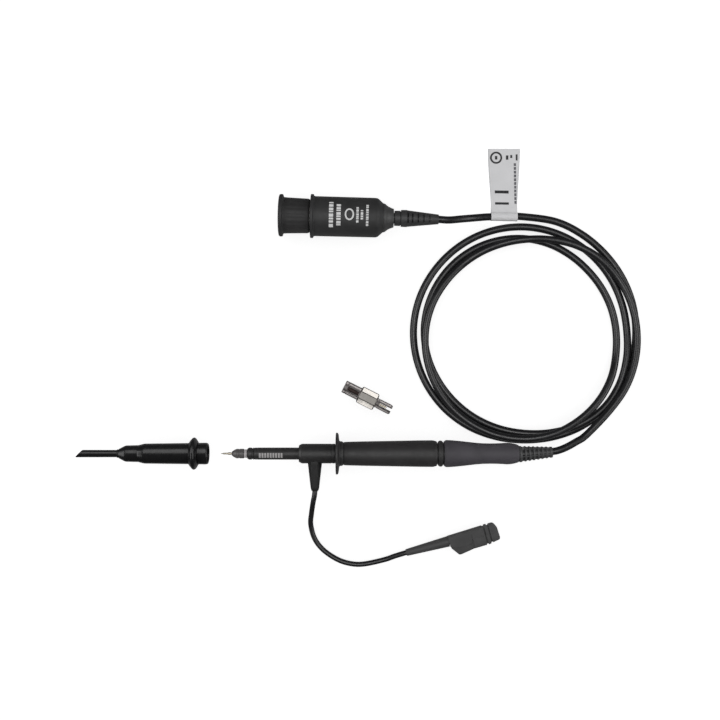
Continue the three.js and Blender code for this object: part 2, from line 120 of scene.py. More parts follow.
def material(name, colour, roughness, metallic=0.0, specular=0.5, mottle=0.1, blotch=9.0,
             grain=0.3, depth=0.01, smear=0.08, stretch=None):
    """A procedural finish: colour that drifts by a share of mottle over blotch mm, roughness uneven by smear,
    and bumps depth mm high and grain mm across. stretch is an angle about Z and a scale for brushed grain."""
    made = bpy.data.materials.new(name)
    made.use_nodes = True
    nodes, links = made.node_tree.nodes, made.node_tree.links
    shader = nodes["Principled BSDF"]
    shader.inputs["Metallic"].default_value = metallic
    shader.inputs["Specular IOR Level"].default_value = specular
    coords = nodes.new("ShaderNodeTexCoord").outputs["Object"]
    stretched = coords
    if stretch:
        mapping = nodes.new("ShaderNodeMapping")
        mapping.inputs["Rotation"].default_value = (0, 0, stretch[0])
        mapping.inputs["Scale"].default_value = stretch[1]
        links.new(coords, mapping.inputs["Vector"])
        stretched = mapping.outputs["Vector"]

    def noise(size, detail, vector):
        node = nodes.new("ShaderNodeTexNoise")
        node.inputs["Scale"].default_value = 1 / (size * MM)
        node.inputs["Detail"].default_value = detail
        links.new(vector, node.inputs["Vector"])
        return node.outputs["Fac"]

    def spread(value):
        node = nodes.new("ShaderNodeMapRange")
        links.new(value, node.inputs["Value"])
        node.inputs["From Min"].default_value = NOISE_LOW
        node.inputs["From Max"].default_value = NOISE_HIGH
        return node

    drift = spread(noise(blotch, 4, coords))
    tint = nodes.new("ShaderNodeMix")
    tint.data_type = "RGBA"
    links.new(drift.outputs["Result"], tint.inputs["Factor"])
    tint.inputs["A"].default_value = [channel * (1 - mottle) for channel in colour] + [1]
    tint.inputs["B"].default_value = [min(channel * (1 + mottle), 1) for channel in colour] + [1]
    links.new(tint.outputs["Result"], shader.inputs["Base Color"])

    polish = spread(noise(blotch / 4, 5, stretched))
    polish.inputs["To Min"].default_value = max(roughness - smear, SMOOTHEST)
    polish.inputs["To Max"].default_value = min(roughness + smear, 1)
    links.new(polish.outputs["Result"], shader.inputs["Roughness"])

    bump = nodes.new("ShaderNodeBump")
    bump.inputs["Distance"].default_value = depth * MM
    links.new(noise(grain, 3, stretched), bump.inputs["Height"])
    links.new(bump.outputs["Normal"], shader.inputs["Normal"])
    return made


ALONG_ADAPTER = (-ADAPTER_YAW, (12, 1, 1))
# A look is a material slot of the frame and a finish; a piece is given the finish alone.
LOOKS = {
    "black": ("black_plastic", material("barrel_moulding", (0.024, 0.0235, 0.024), 0.42)),
    "collar_black": ("black_plastic", material("collar_moulding", (0.021, 0.0205, 0.021), 0.44)),
    "boot_black": ("black_plastic", material("boot_moulding", (0.01, 0.01, 0.01), 0.5, specular=0.35)),
    "nut_black": ("black_plastic", material("nut_moulding", (0.024, 0.0235, 0.024), 0.55, specular=0.35)),
    "gloss_black": ("black_plastic", material(
        "gloss_black_moulding", (0.009, 0.009, 0.0095), 0.26, smear=0.05, depth=0.004)),
    "clip_black": ("black_plastic", material(
        "clip_moulding", (0.041, 0.0405, 0.041), 0.55, specular=0.4, depth=0.015)),
    "sleeve_black": ("black_plastic", material(
        "clip_sleeve_moulding", (0.046, 0.0455, 0.046), 0.5, specular=0.4, depth=0.015)),
    "nose": ("black_plastic", material("nose_moulding", (0.085, 0.08, 0.08), 0.35)),
    "grey": ("grey_plastic", material(
        "grey_moulding", (0.024, 0.023, 0.0235), 0.48, specular=0.46, depth=0.012)),
    "box_grey": ("grey_plastic", material(
        "box_moulding", (0.026, 0.026, 0.0265), 0.5, specular=0.4, depth=0.015)),
    "rubber": ("soft_rubber", material(
        "grip_rubber", (0.047, 0.0435, 0.051), 0.6, specular=0.45, mottle=0.14, depth=0.02)),
    "boot": ("soft_rubber", material("boot_rubber", (0.033, 0.033, 0.034), 0.45)),
    "relief": ("soft_rubber", material("relief_rubber", (0.056, 0.056, 0.057), 0.36)),
    "cone_grey": ("grey_plastic", material("cone_moulding", (0.04, 0.04, 0.0405), 0.46, depth=0.015)),
    "jacket": ("cable_jacket", material(
        "cable_jacket", (0.012, 0.012, 0.013), 0.27, mottle=0.15, blotch=14, grain=0.5, depth=0.012)),
    "nickel": ("nickel", material(
        "nickel_plate", (0.62, 0.59, 0.55), 0.22, 1.0, mottle=0.08, blotch=2.5, grain=0.5,
        depth=0.004, stretch=ALONG_ADAPTER)),
    # Dark brown nickel used as painted shade: it darkens the inside of the adapter's socket, seen through its
    # slot.
    "painted_shade_nickel": ("nickel", material("painted_shade_nickel", (0.13, 0.095, 0.09), 0.5, 1.0, depth=0.003)),
    "satin_nickel": ("nickel", material(
        "satin_nickel", (0.5, 0.465, 0.455), 0.42, 1.0, mottle=0.12, blotch=1.5, depth=0.004)),
    "matt_nickel": ("nickel", material("matt_nickel", (0.38, 0.36, 0.365), 0.5, depth=0.003)),
    "gold": ("gold_plate", material("gold_plate", (0.86, 0.78, 0.62), 0.3, 1.0, depth=0.003)),
    "brass": ("brass", material("brass_drawn", (0.6, 0.45, 0.2), 0.35, 1.0, depth=0.003)),
    "steel": ("spring_steel", material("spring_steel", (0.5, 0.5, 0.51), 0.3, 1.0, depth=0.003)),
    "white": ("white_insulator", material("insulator", (0.7, 0.69, 0.66), 0.45, depth=0.005)),
    "ceramic": ("ceramic", material("ceramic", (0.6, 0.58, 0.5), 0.6, depth=0.01)),
    "board": ("circuit_board", material("lacquered_board", (0.03, 0.16, 0.07), 0.4)),
    "label": ("label_film", material(
        "label_film", (0.57, 0.57, 0.58), 0.5, mottle=0.05, blotch=12, grain=1.5, depth=0.02)),
    "ink": ("label_film", material("label_ink", (0.02, 0.02, 0.022), 0.6)),
    "pale_ink": ("label_film", material("label_pale_ink", (0.1, 0.1, 0.11), 0.6)),
    "print": ("white_insulator", material("white_print", (0.55, 0.55, 0.55), 0.6, depth=0.004)),
    "barrel_print": ("white_insulator", material("barrel_print", (0.3, 0.29, 0.29), 0.6, depth=0.004)),
}


# ---- Pieces ----

def show(thing):
    bpy.context.scene.collection.objects.link(thing)
    return thing


def named(*names):
    return [bpy.data.objects[name] for name in names]


def shade(mesh):
    mesh.polygons.foreach_set("use_smooth", [True] * len(mesh.polygons))
    mesh.set_sharp_from_angle(angle=CREASE)


def make(name, bm, where, body, look, *nodes):
    """Turns a bmesh in local millimetres into a piece in the row frame that stands for CAD nodes."""
    bmesh.ops.recalc_face_normals(bm, faces=bm.faces)
    bm.transform(where)
    mesh = bpy.data.meshes.new(name)
    bm.to_mesh(mesh)
    bm.free()
    shade(mesh)
    piece = show(bpy.data.objects.new(name, mesh))
    dress(piece, look)
    if body:
        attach(piece, body)
    if nodes:
        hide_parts(*nodes)
    return piece


def dress(piece, look):
    slot, finish = LOOKS[look]
    piece.data.materials.clear()
    piece.data.materials.append(finish)


def bake(piece):
    """Replaces a piece's mesh by what its modifiers make of it."""
    bpy.context.view_layer.update()
    graph = bpy.context.evaluated_depsgraph_get()
    mesh = bpy.data.meshes.new_from_object(piece.evaluated_get(graph))
    piece.modifiers.clear()
    piece.data = mesh
    shade(mesh)


def combine(piece, operation, *others):
    """Boolean of a piece with other objects, which are used up."""
    for other in others:
        step = piece.modifiers.new(operation, "BOOLEAN")
        step.object = other
        step.operation = operation
        step.solver = "EXACT"
    bake(piece)
    for other in others:
        bpy.data.objects.remove(other)


def tool(bm, where):
    """An object to cut or join with."""
    return make("tool", bm, where, None, "black")


def soften(outline, closed):
    """Outline corners [x, y] or [x, y, rounding] as points, with the rounded ones turned into arcs."""
    points = []
    for i, corner in enumerate(outline):
        here = Vector(corner[:2])
        open_end = not closed and i in (0, len(outline) - 1)
        if len(corner) < 3 or open_end:
            points.append(here)
            continue
        before = Vector(outline[i - 1][:2]) - here
        after = Vector(outline[(i + 1) % len(outline)][:2]) - here
        reach = min(corner[2], before.length * CORNER_SHARE, after.length * CORNER_SHARE)
        start = here + before.normalized() * reach
        end = here + after.normalized() * reach
        for step in range(ARC_STEPS + 1):
            t = step / ARC_STEPS
            points.append(start * (1 - t) ** 2 + here * 2 * t * (1 - t) + end * t ** 2)
    return points


def densify(points, closed, longest):
    """Extra points along the long edges of an outline."""
    dense = []
    count = len(points)
    for i, here in enumerate(points):
        dense.append(here)
        if i == count - 1 and not closed:
            break
        there = points[(i + 1) % count]
        steps = math.ceil((there - here).length / longest)
        dense += [here.lerp(there, k / steps) for k in range(1, steps)]
    return dense


def join(bm, a, b):
    """Faces between two loops that have as many corners"""
    for k in range(len(a)):
        n = (k + 1) % len(a)
        bm.faces.new((a[k], a[n], b[n], b[k]))


def turned(outline, sides=SIDES, shape=None, longest=4.0):
    """A piece turned about the X axis. The outline runs from axis to axis, or is a loop clear of the axis.
    shape(station, angle, radius) may change the radius; angle 90 degrees is straight up."""
    closed = outline[0][1] > 0
    points = densify(soften(outline, closed), closed, longest)
    bm = bmesh.new()
    rings = []
    for station, radius in points:
        if radius < 1e-6:
            rings.append([bm.verts.new((station, 0, 0))])
            continue
        ring = []
        for k in range(sides):
            angle = 2 * math.pi * k / sides
            r = shape(station, angle, radius) if shape else radius
            ring.append(bm.verts.new((station, r * math.cos(angle), r * math.sin(angle))))
        rings.append(ring)
    pairs = list(zip(rings, rings[1:]))
    if closed:
        pairs.append((rings[-1], rings[0]))
    for a, b in pairs:
        if len(a) > 1 and len(b) > 1:
            join(bm, a, b)
        elif len(b) > 1:
            for k in range(sides):
                bm.faces.new((a[0], b[k], b[(k + 1) % sides]))
        elif len(a) > 1:
            for k in range(sides):
                bm.faces.new((a[k], a[(k + 1) % sides], b[0]))
    return bm


def tube(outer, bore):
    """The loop of a turned piece with a bore; both lines run the same way."""
    return [*outer, *reversed(bore)]


def bored(radius, outer):
    """The loop of a turned piece with a straight bore from end to end"""
    return tube(outer, [[outer[0][0], radius], [outer[-1][0], radius]])


def taper(start, end, first_r, last_r):
    """The radius of a straight taper, for a given station"""
    return lambda station: first_r + (last_r - first_r) * (station - start) / (end - start)


def block(x, y, z):
    """A box between two values of each coordinate"""
    bm = bmesh.new()
    bmesh.ops.create_cube(bm, size=1)
    scale = Matrix.Diagonal((x[1] - x[0], y[1] - y[0], z[1] - z[0], 1))
    middle = Vector(((x[0] + x[1]) / 2, (y[0] + y[1]) / 2, (z[0] + z[1]) / 2))
    bm.transform(Matrix.Translation(middle) @ scale)
    return bm


def plate(outline, low, high):
    """A flat outline in X and Y, from height low to height high"""
    bm = bmesh.new()
    bottom = [bm.verts.new((x, y, low)) for x, y in soften(outline, True)]
    top = [bm.verts.new((v.co.x, v.co.y, high)) for v in bottom]
    bm.faces.new(list(reversed(bottom)))
    bm.faces.new(top)
    join(bm, bottom, top)
    return bm


def bevel(piece, width):
    """Rounds every edge sharper than BEVEL_ANGLE."""
    step = piece.modifiers.new("bevel", "BEVEL")
    step.width = width * MM
    step.segments = 2
    step.limit_method = "ANGLE"
    step.angle_limit = BEVEL_ANGLE
    bake(piece)


def between(knots, i, t):
    """A share t of the way from knot i to the next, on a smooth curve through all the knots"""
    last = len(knots) - 1
    before, here = knots[max(i - 1, 0)], knots[i]
    there, after = knots[min(i + 1, last)], knots[min(i + 2, last)]
    return 0.5 * (
        2 * here + (there - before) * t + (2 * before - 5 * here + 4 * there - after) * t ** 2
        + (3 * here - before - 3 * there + after) * t ** 3)


def smooth_path(points, spacing):
    """Points along a smooth curve through the given ones."""
    knots = [Vector(p) for p in points]
    path = []
    for i in range(len(knots) - 1):
        steps = max(math.ceil((knots[i + 1] - knots[i]).length / spacing), 1)
        path += [between(knots, i, k / steps) for k in range(steps)]
    path.append(knots[-1])
    return path


def wrap(bm, rows, closed=False):
    """Faces round a bar whose cross-sections are given in turn. A closed bar runs back into its start."""
    for a, b in zip(rows, rows[1:]):
        join(bm, a, b)
    if closed:
        join(bm, rows[-1], rows[0])
    else:
        bm.faces.new(rows[0])
        bm.faces.new(rows[-1])


def swept(path, radius, sides=16):
    """A round strand along a path"""
    bm = bmesh.new()
    rings = []
    side = None
    for i, here in enumerate(path):
        ahead = (path[min(i + 1, len(path) - 1)] - path[max(i - 1, 0)]).normalized()
        if side is None:
            side = ahead.orthogonal().normalized()
        side = (side - ahead * side.dot(ahead)).normalized()
        up = ahead.cross(side)
        rings.append([
            bm.verts.new(here + (side * math.cos(a) + up * math.sin(a)) * radius)
            for a in (2 * math.pi * k / sides for k in range(sides))])
    wrap(bm, rings)
    return bm


def ease(t):
    """0 up to t = 0, 1 from t = 1, and a smooth rise between"""
    t = min(max(t, 0), 1)
    return t * t * (3 - 2 * t)


def faceted(angle, sides, corner):
    """How far out a flat-sided wall lies, 1 in the middle of a flat and at most corner; one flat is on top"""
    apart = (angle - math.pi / 2 + math.pi / sides) % (2 * math.pi / sides) - math.pi / sides
    return min(1 / math.cos(apart), corner)


# ---- Probe head ----

BARREL_R = 3
COLLAR_R = 4.9
COLLAR_FRONT = -18.7
BRANCH = -10.75  # station of the ground lead's boot
BOOT_REACH = 18.65  # from the probe's axis
BOOT_CORNER = 1.1  # how far out its rounded corners are, for flats at 1
GRIP_REAR = 90.9
RELIEF_LENGTH = 16.9
RELIEF_TILT = math.radians(3.5)
RELIEF_SHIFT = -0.3
RELIEF_R = 4.1, 2.7  # at its front and its rear
RELIEF_CORE = 2.25
RING_PITCH = 2.14
RINGS = 8
SPINE_ANGLE = math.radians(17)
SPINE_HALF = 0.6
SPINE_FADE = 0.3
SPINE_DROP = 0.15  # below the rings


def build_nose():
    make("needle", turned([
        [-57.75, 0], [-57.6, 0.1, 0.1], [-56.0, 0.42, 0.4], [-54.2, 0.45], [-54.1, 0.62, 0.1],
        [-52.6, 0.62, 0.1], [-52.5, 0.45], [-41, 0.45], [-41, 0],
    ], 40), HEAD, "probe", "gold", "tip_needle")
    make("nose_cone", turned(bored(0.7, [
        [-52.25, 0.95, 0.15], [-51.2, 1.75, 0.5], [-49.8, 2.4, 0.6], [-48.9, 2.4, 0.15], [-48.75, 2.2, 0.1],
        [-48.45, 2.2, 0.1], [-48.3, 2.4, 0.15], [-46.2, 2.4, 0.2],
    ])), HEAD, "probe", "nose", "tip_insulator")
    make("nose_ring", turned(bored(0.7, [
        [-46.05, 2.12, 0.2], [-44.55, 2.12, 0.2],
    ])), HEAD, "probe", "matt_nickel", "tip_contact_ring")
    make("ferrule", turned(bored(0.75, [
        [-44.4, 2.5, 0.15], [-43.7, BARREL_R, 0.3], [-42.3, BARREL_R, 0.15], [-42.15, 2.7, 0.08],
        [-41.75, 2.7, 0.08], [-41.6, BARREL_R, 0.1], [-41.3, BARREL_R, 0.1],
    ])), HEAD, "probe", "black", "barrel_ferrule")
    make("barrel", turned(bored(2.45, [
        [-41.1, 2.9, 0.1], [-39.75, BARREL_R, 0.1], [-39.7, 2.88], [-39.5, 2.88], [-39.45, BARREL_R, 0.05],
        [3, BARREL_R],
    ])), HEAD, "probe", "black", "barrel_tube")


def build_collar():
    body = turned(bored(3.2, [
        [COLLAR_FRONT, 4.1, 0.15], [-18.2, 4.4, 0.2], [-17.3, COLLAR_R, 0.5], [-2.6, COLLAR_R, 0.1],
        [-2.45, 4.75, 0.08], [-2.1, 4.75, 0.08], [-1.95, COLLAR_R, 0.1], [-0.6, COLLAR_R, 0.12],
        [-0.5, 4.2, 0.1], [-0.05, 4.2],
    ]))
    collar = make("collar", body, HEAD, "ground_collar", "collar_black", "ground_collar")
    outward = Matrix.Translation((BRANCH, 0, 0)) @ Matrix.Rotation(-math.pi / 2, 4, "Z")
    stub = turned([[3.5, 0], [3.5, 3.1], [4.6, 3.1, 0.3], [5.4, 2.9, 0.12], [5.4, 0]], 64)
    stub.transform(outward)
    bore = turned([[-21, 0], [-21, 3.8], [1, 3.8], [1, 0]], 64)
    combine(collar, "UNION", tool(stub, HEAD))
    combine(collar, "DIFFERENCE", tool(bore, HEAD))

    def six_sided(_, angle, radius):
        """The boot is a six-sided taper with rounded corners, one flat on top. Its bore stays round."""
        return radius if radius < 1.5 else radius * faceted(angle, 6, BOOT_CORNER) / BOOT_CORNER

    boot = turned(bored(1.4, [
        [3.65, 3.5], [5, 3.5], [17.2, 2.13, 0.3], [BOOT_REACH, 1.65, 0.2],
    ]), 72, six_sided, 1.0)
    boot.transform(outward)
    make("boot", boot, HEAD, "ground_collar", "boot_black", "ground_boot")


def build_handle():
    make("guard", turned(bored(3.2, [
        [0, 5.4, 0.1], [-0.3, 9.9, 0.3], [-0.2, 10.42, 0.25], [0.75, 10.35, 0.25], [1.1, 9.4],
        [1.45, 6.5, 0.4], [1.9, 6.1, 0.4], [2.6, 6.2, 0.5], [3.38, 5.75, 0.15],
    ]), 96), HEAD, "probe", "grey", "finger_guard")
    make("handle", turned(bored(4.5, [
        [3.4, 5.6, 0.15], [4.4, 5.85, 0.4], [12, 6.05], [42, 6.6], [48.3, 6.65, 1.0], [49.9, 6.15, 0.4],
        [50.15, 5.9, 0.1], [50.2, 5.2], [50.62, 5.2],
    ]), 96), HEAD, "probe", "grey", "handle_front")
    make("marker", turned(bored(4.5, [
        [50.66, 5.8, 0.1], [51.5, 6.5, 0.35], [52.5, 6.5, 0.35], [53.2, 5.8, 0.1], [53.25, 5.2],
        [53.56, 5.2],
    ]), 96), HEAD, "probe", "grey", "marker_ring")
    make("grip", turned(bored(3.35, [
        [53.6, 6, 0.2], [54.6, 6.8, 0.8], [57.5, 6.65], [60, 6.45], [63, 6.15], [66, 5.8], [69.5, 5.4],
        [73, 5.13], [77, 5.05], [80, 5.1], [83, 5.22], [85.5, 5.42, 1.2], [88, 5.12, 1.0], [90.1, 4.6, 0.5],
        [GRIP_REAR, 4.25, 0.15],
    ]), 96), HEAD, "probe", "rubber", "rear_grip")


def grooved(start, end, first_r, last_r, middles, width, core):
    """Outline of a tapering flexible boot with grooves down to its core"""
    skin = taper(start, end, first_r, last_r)
    corners = [[start, first_r, 0.2]]
    for middle in middles:
        front, rear = middle - width / 2, middle + width / 2
        corners += [[front, skin(front), 0.12], [front + 0.1, core, 0.05]]
        corners += [[rear - 0.1, core, 0.05], [rear, skin(rear), 0.12]]
    corners.append([end, last_r, 0.2])
    return corners


def build_relief():
    ring_r = taper(0, RELIEF_LENGTH, *RELIEF_R)

    def spined(station, angle, radius):
        """Four narrow spines, a little lower than the rings, tie them together."""
        if station < 0.2 or radius < 2.1:
            return radius
        ring = ring_r(station)
        apart = (angle - SPINE_ANGLE + math.pi / 4) % (math.pi / 2) - math.pi / 4
        share = ease((SPINE_HALF - abs(apart) * ring) / SPINE_FADE)
        return max(radius, radius + (ring - SPINE_DROP - radius) * share)

    grooves = [1.2 + RING_PITCH * (i + 0.5) for i in range(RINGS - 1)]
    skin = grooved(GAP + 0.05, RELIEF_LENGTH, *RELIEF_R, grooves, 1.3, RELIEF_CORE)
    outline = bored(2.0, [[-3, 2.8], [GAP, 2.8], *skin])
    where = HEAD @ Matrix.Translation((GRIP_REAR, RELIEF_SHIFT, 0)) @ Matrix.Rotation(RELIEF_TILT, 4, "Z")
    make("relief", turned(outline, 144, spined), where, "probe", "relief", "strain_relief")


# ---- Hook sleeve ----

SPRING_START, SPRING_END = 24.6, 31.2
SPRING_R = 2.3
SPRING_WIRE_R = 0.22
SPRING_TURNS = 5
STEPS_PER_COIL = 28


def build_hook():
    sleeve = make("hook_shell", turned(tube(
        [[0, 1.85], [20.4, 1.8], [20.6, 2.1, 0.15], [21.5, 2.1, 0.15], [21.6, 2.4], [24.75, 4.05, 0.8],
         [31.4, 4.2, 0.3], [31.7, 4.35, 0.1], [34.2, 4.97, 0.6], [56.6, 5.25, 0.1], [57, 6.3, 0.3],
         [58.3, 7.8, 0.5], [59, 8.1, 0.4], [59.8, 7.7, 0.5], [60.95, 5.9, 0.3]],
        [[0, 1.05], [22.2, 1.05], [24.4, 3.2], [33.6, 3.2], [33.9, 4.15], [56.2, 4.15], [56.3, 5.45],
         [60.95, 5.45]],
    )), HOOK, "hook_sleeve", "gloss_black", "hook_sleeve")
    slant = block((-6, 0), (-4, 4), (-4, 4))
    slant.transform(Matrix.Translation((1.5, 0, 0)) @ Matrix.Rotation(-math.pi / 4, 4, "Z"))
    combine(sleeve, "DIFFERENCE", tool(slant, HOOK))
    make("hook_carrier_tube", turned(tube(
        [[31.8, 2.87], [38.2, 2.87], [38.3, 3.82], [61.05, 3.82], [61.05, 5.35, 0.15], [65.3, 5.4, 0.45],
         [HOOK_REAR, 5.0, 0.3]],
        [[31.8, 1.5], [33, 1.5], [33.1, 2.56], [38.4, 2.56], [38.6, 3.2], [63.5, 3.2], [64.5, 4.5],
         [HOOK_REAR, 4.55, 0.1]],
    )), HOOK, "hook_carrier", "gloss_black", "hook_carrier")
    route = [
        (3.2, 0.45, 0), (2.75, 0.4, 0), (2.4, 0, 0), (2.75, -0.4, 0), (3.6, -0.45, 0), (7, -0.2, 0),
        (11, 0, 0), (18, 0, 0), (27.6, 0, 0)]
    make("hook_wire_strand", swept(smooth_path(route, 0.4), 0.28), HOOK, "hook_carrier", "steel", "hook_wire")
    make("hook_contact", turned(bored(0.75, [
        [27.9, 1.2, 0.1], [33, 1.2, 0.1],
    ]), 48), HOOK, "hook_carrier", "gold", "hook_socket")


def build_hook_spring():
    """The return spring, a fixed coil of one length; the real one shortens as the sleeve is drawn back over
    the carrier
    """
    winding = []
    steps = SPRING_TURNS * STEPS_PER_COIL
    for i in range(steps + 1):
        angle = 2 * math.pi * i / STEPS_PER_COIL
        station = SPRING_START + (SPRING_END - SPRING_START) * i / steps
        winding.append(Vector((station, SPRING_R * math.cos(angle), SPRING_R * math.sin(angle))))
    strand = swept(winding, SPRING_WIRE_R, 10)
    spring = make("hook_return_spring", strand, HOOK, None, "steel", "hook_spring")
    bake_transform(spring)


# ---- Compensation box and bayonet plug ----

BOX_R = 9.88
PRINT_R = BOX_R - 0.02  # where the box's marks lie
PRINT_LIFT = 0.05  # how far they reach in and out from there
RING_LINE = 0.75
FLUTES = 22
FLUTE_DEPTH = 0.12
FLUTES_START, FLUTES_END = 3.4, 13.6
FLUTES_FADE = 0.8
PLUG_BOOT_R = 4.1, 2.4  # of its slotted part, at the front and the rear
PLUG_BOOT_START, PLUG_BOOT_END = 63.72, 79.5
PLUG_BOOT_SLOTS = (64.15, 66.4, 69.25, 72.0, 74.9)
SLOT_OPENING = 36  # degrees that a slot reaches from the top and the bottom
SLOT_FADE = 6


def build_plug():
    def fluted(station, angle, radius):
        """Shallow flutes along the nut's grip, fading out before its rims. The bore and rims stay round."""
        if radius < 8 or radius > 9.4:
            return radius
        fade = ease((station - FLUTES_START) / FLUTES_FADE) * ease((FLUTES_END - station) / FLUTES_FADE)
        return radius - FLUTE_DEPTH * fade * (0.5 - 0.5 * math.cos(FLUTES * angle)) ** 2

    make("nut_grip", turned(bored(7.3, [
        [0, 10.15, 0.2], [0.5, 10.5, 0.25], [1.75, 10.5, 0.25], [2.1, 9.3, 0.2], [2.4, 9.0, 0.3],
        [3.1, 8.98], [6, 8.87], [13.8, 8.6], [14.6, 8.5, 0.3], [15.3, 8.1, 0.2],
    ]), 176, fluted, 1.0), PLUG, "nut", "nut_black", "nut_cover")
    shell = make("nut_liner", turned(tube(
        [[0.3, 6.6, 0.1], [0.7, 7.0, 0.2], [14.6, 7.0]], [[0.3, 5.2, 0.1], [14.6, 5.2]],
    )), PLUG, "nut", "nickel", "nut_shell")
    slots = []
    for side in (0, 180):
        for low, high, reach in ((-1, 5.6, 12), (3.2, 5.6, 60)):
            slots.append(tool(wall_sector(low, high, 4, 8, side - 12, side + reach), PLUG))
    combine(shell, "DIFFERENCE", *slots)
    contact = make("ground_sleeve", turned(tube(
        [[1.2, 3.95, 0.1], [1.5, 4.05, 0.1], [18.8, 4.05]], [[1.2, 3.65, 0.05], [18.8, 3.55]],
    )), PLUG, "probe", "nickel", "outer_contact")
    slits = []
    for turn in (0, 90):
        slit = block((0, 6.5), (-5, 5), (-0.3, 0.3))
        slit.transform(Matrix.Rotation(math.radians(turn), 4, "X"))
        slits.append(tool(slit, PLUG))
    combine(contact, "DIFFERENCE", *slits)
    make("plug_insulator", turned(bored(0.97, [
        [7, 3.2, 0.15], [19, 3.2],
    ])), PLUG, "probe", "white", "contact_dielectric")
    make("plug_pin", turned([
        [2, 0], [2.1, 0.3, 0.2], [2.8, 0.67, 0.3], [20.1, 0.67], [20.1, 0],
    ], 40), PLUG, "probe", "gold", "centre_pin")
    make("box_shell", turned(tube(
        [[15.7, 10.8, 0.15], [15.8, 10.88, 0.1], [17.0, 10.88, 0.15], [17.35, 10.05, 0.2], [17.8, BOX_R, 0.3],
         [49.0, BOX_R - 0.1, 1.2], [51.3, 7.6, 0.35], [51.75, 7.3, 0.1]],
        [[15.7, 8.75], [47.9, 8.75], [48, 5.1], [51.75, 5.1]],
    ), 112), PLUG, "probe", "box_grey")
    make("box_tail", turned(bored(2.95, [
        [48.6, 4.75], [51.8, 4.75], [51.8, 7.22, 0.12], [52.7, 7.05, 0.4], [54.2, 5.75, 1.0],
        [56, 4.95, 0.6], [57.1, 4.6, 0.25],
    ])), PLUG, "probe", "cone_grey", "rear_cap")


def build_plug_boot():
    start, end = PLUG_BOOT_START, PLUG_BOOT_END
    skin = taper(start, end, *PLUG_BOOT_R)

    def bridged(station, angle, radius):
        """The slots are open on top and below; the sides run through."""
        if station < start or radius < 2.1:
            return radius
        away = abs(angle % math.pi - math.pi / 2)
        return radius + (skin(station) - radius) * ease((math.degrees(away) - SLOT_OPENING) / SLOT_FADE)

    slotted = grooved(start, end, *PLUG_BOOT_R, PLUG_BOOT_SLOTS, 0.8, 2.25)
    make("plug_boot", turned(bored(2.0, [
        [49, 2.6], [57.4, 2.6], [57.42, 3.75, 0.1], [60.35, 3.8, 0.1], [60.4, 3.4], [60.65, 3.4],
        [60.7, 4.2, 0.15], [63.7, 4.25, 0.15], *slotted,
    ]), 120, bridged), PLUG, "probe", "boot", "connector_boot")


def wall_sector(low, high, inner, outer, start_deg, end_deg):
    """Part of a round wall about the X axis; angle 0 points along -Z, as the nut's slots do"""
    steps = 12
    bm = bmesh.new()
    rows = []
    for k in range(steps + 1):
        angle = math.radians(start_deg + (end_deg - start_deg) * k / steps) - math.pi / 2
        y, z = math.cos(angle), math.sin(angle)
        rows.append([bm.verts.new((x, r * y, r * z)) for x, r in
                     ((low, inner), (high, inner), (high, outer), (low, outer))])
    wrap(bm, rows)
    return bm


def cut_keyhole():
    """The trimmer's access hole, in the underside of the box"""
    hole = bmesh.new()
    bmesh.ops.create_cone(hole, segments=48, radius1=1.6, radius2=1.6, depth=8, cap_ends=True)
    hole.transform(Matrix.Translation((30, 0, -10)))
    box = bpy.data.objects["box_shell"]
    combine(box, "DIFFERENCE", tool(hole, PLUG))
    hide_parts("connector_housing")


def surface_bar(bm, station, width, low, high, radius, lift=PRINT_LIFT):
    """A thin printed bar on a turned wall, between two angles in degrees from the top; plus is towards +Y"""
    steps = max(round(abs(high - low) / 6), 1)
    rows = []
    for k in range(steps + 1):
        angle = math.radians(low + (high - low) * k / steps)
        y, z = math.sin(angle), math.cos(angle)
        rows.append([bm.verts.new((x, r * y, r * z)) for x, r in (
            (station - width / 2, radius - lift), (station + width / 2, radius - lift),
            (station + width / 2, radius + lift), (station - width / 2, radius + lift))])
    wrap(bm, rows)


def printed_row(bm, station, width, half_span, count, radius, fill=0.72):
    """A row of plain bars of uneven widths across a turned wall, standing in for a line of print"""
    weights = [1 + 0.4 * math.sin(2.4 * i + station) for i in range(count)]
    unit = 2 * half_span / sum(weights)
    left = -half_span
    for weight in weights:
        right = left + unit * weight * fill
        low = math.degrees(math.asin(left / radius))
        high = math.degrees(math.asin(right / radius))
        surface_bar(bm, station, width, low, high, radius)
        left += unit * weight


def printed_ring(bm, middle, edges, lifts, steps, height):
    """A thin oval ring. edges are the half widths of its two edges, lifts the levels of its bottom and its
    top, and height(x, y, lift) gives each corner's height."""
    (first, second), (low, high) = edges, lifts
    rows = []
    for k in range(steps):
        angle = 2 * math.pi * k / steps
        row = []
        for (long, wide), lift in ((first, low), (second, low), (second, high), (first, high)):
            x = middle[0] + long * math.cos(angle)
            y = middle[1] + wide * math.sin(angle)
            row.append(bm.verts.new((x, y, height(x, y, lift))))
        rows.append(row)
    wrap(bm, rows, closed=True)


def build_marks():
    """Plain blocks and a ring where the real object has print"""
    bm = bmesh.new()
    for station, width, half_span, count in (
            (26.1, 2.1, 6.3, 8), (29.8, 2.1, 5.4, 8), (39.05, 1.2, 3.9, 7), (41.25, 1.2, 2.4, 4),
            (43.9, 1.2, 5.3, 9)):
        printed_row(bm, station, width, half_span, count, PRINT_R)
    printed_ring(
        bm, (35.1, 0), ((2.3, 2.9), (2.3 - RING_LINE, 2.9 - RING_LINE)), (-PRINT_LIFT, PRINT_LIFT), 36,
        lambda x, y, lift: math.sqrt((PRINT_R + lift) ** 2 - y * y))
    make("box_marks", bm, PLUG, "probe", "print")
    bm = bmesh.new()
    for i in range(9):
        surface_bar(bm, -38.0 + i * 1.35, 0.9, -38, 10, BARREL_R, 0.03)
    make("barrel_marks", bm, HEAD, "probe", "barrel_print")


# ---- Cable, coil and label ----

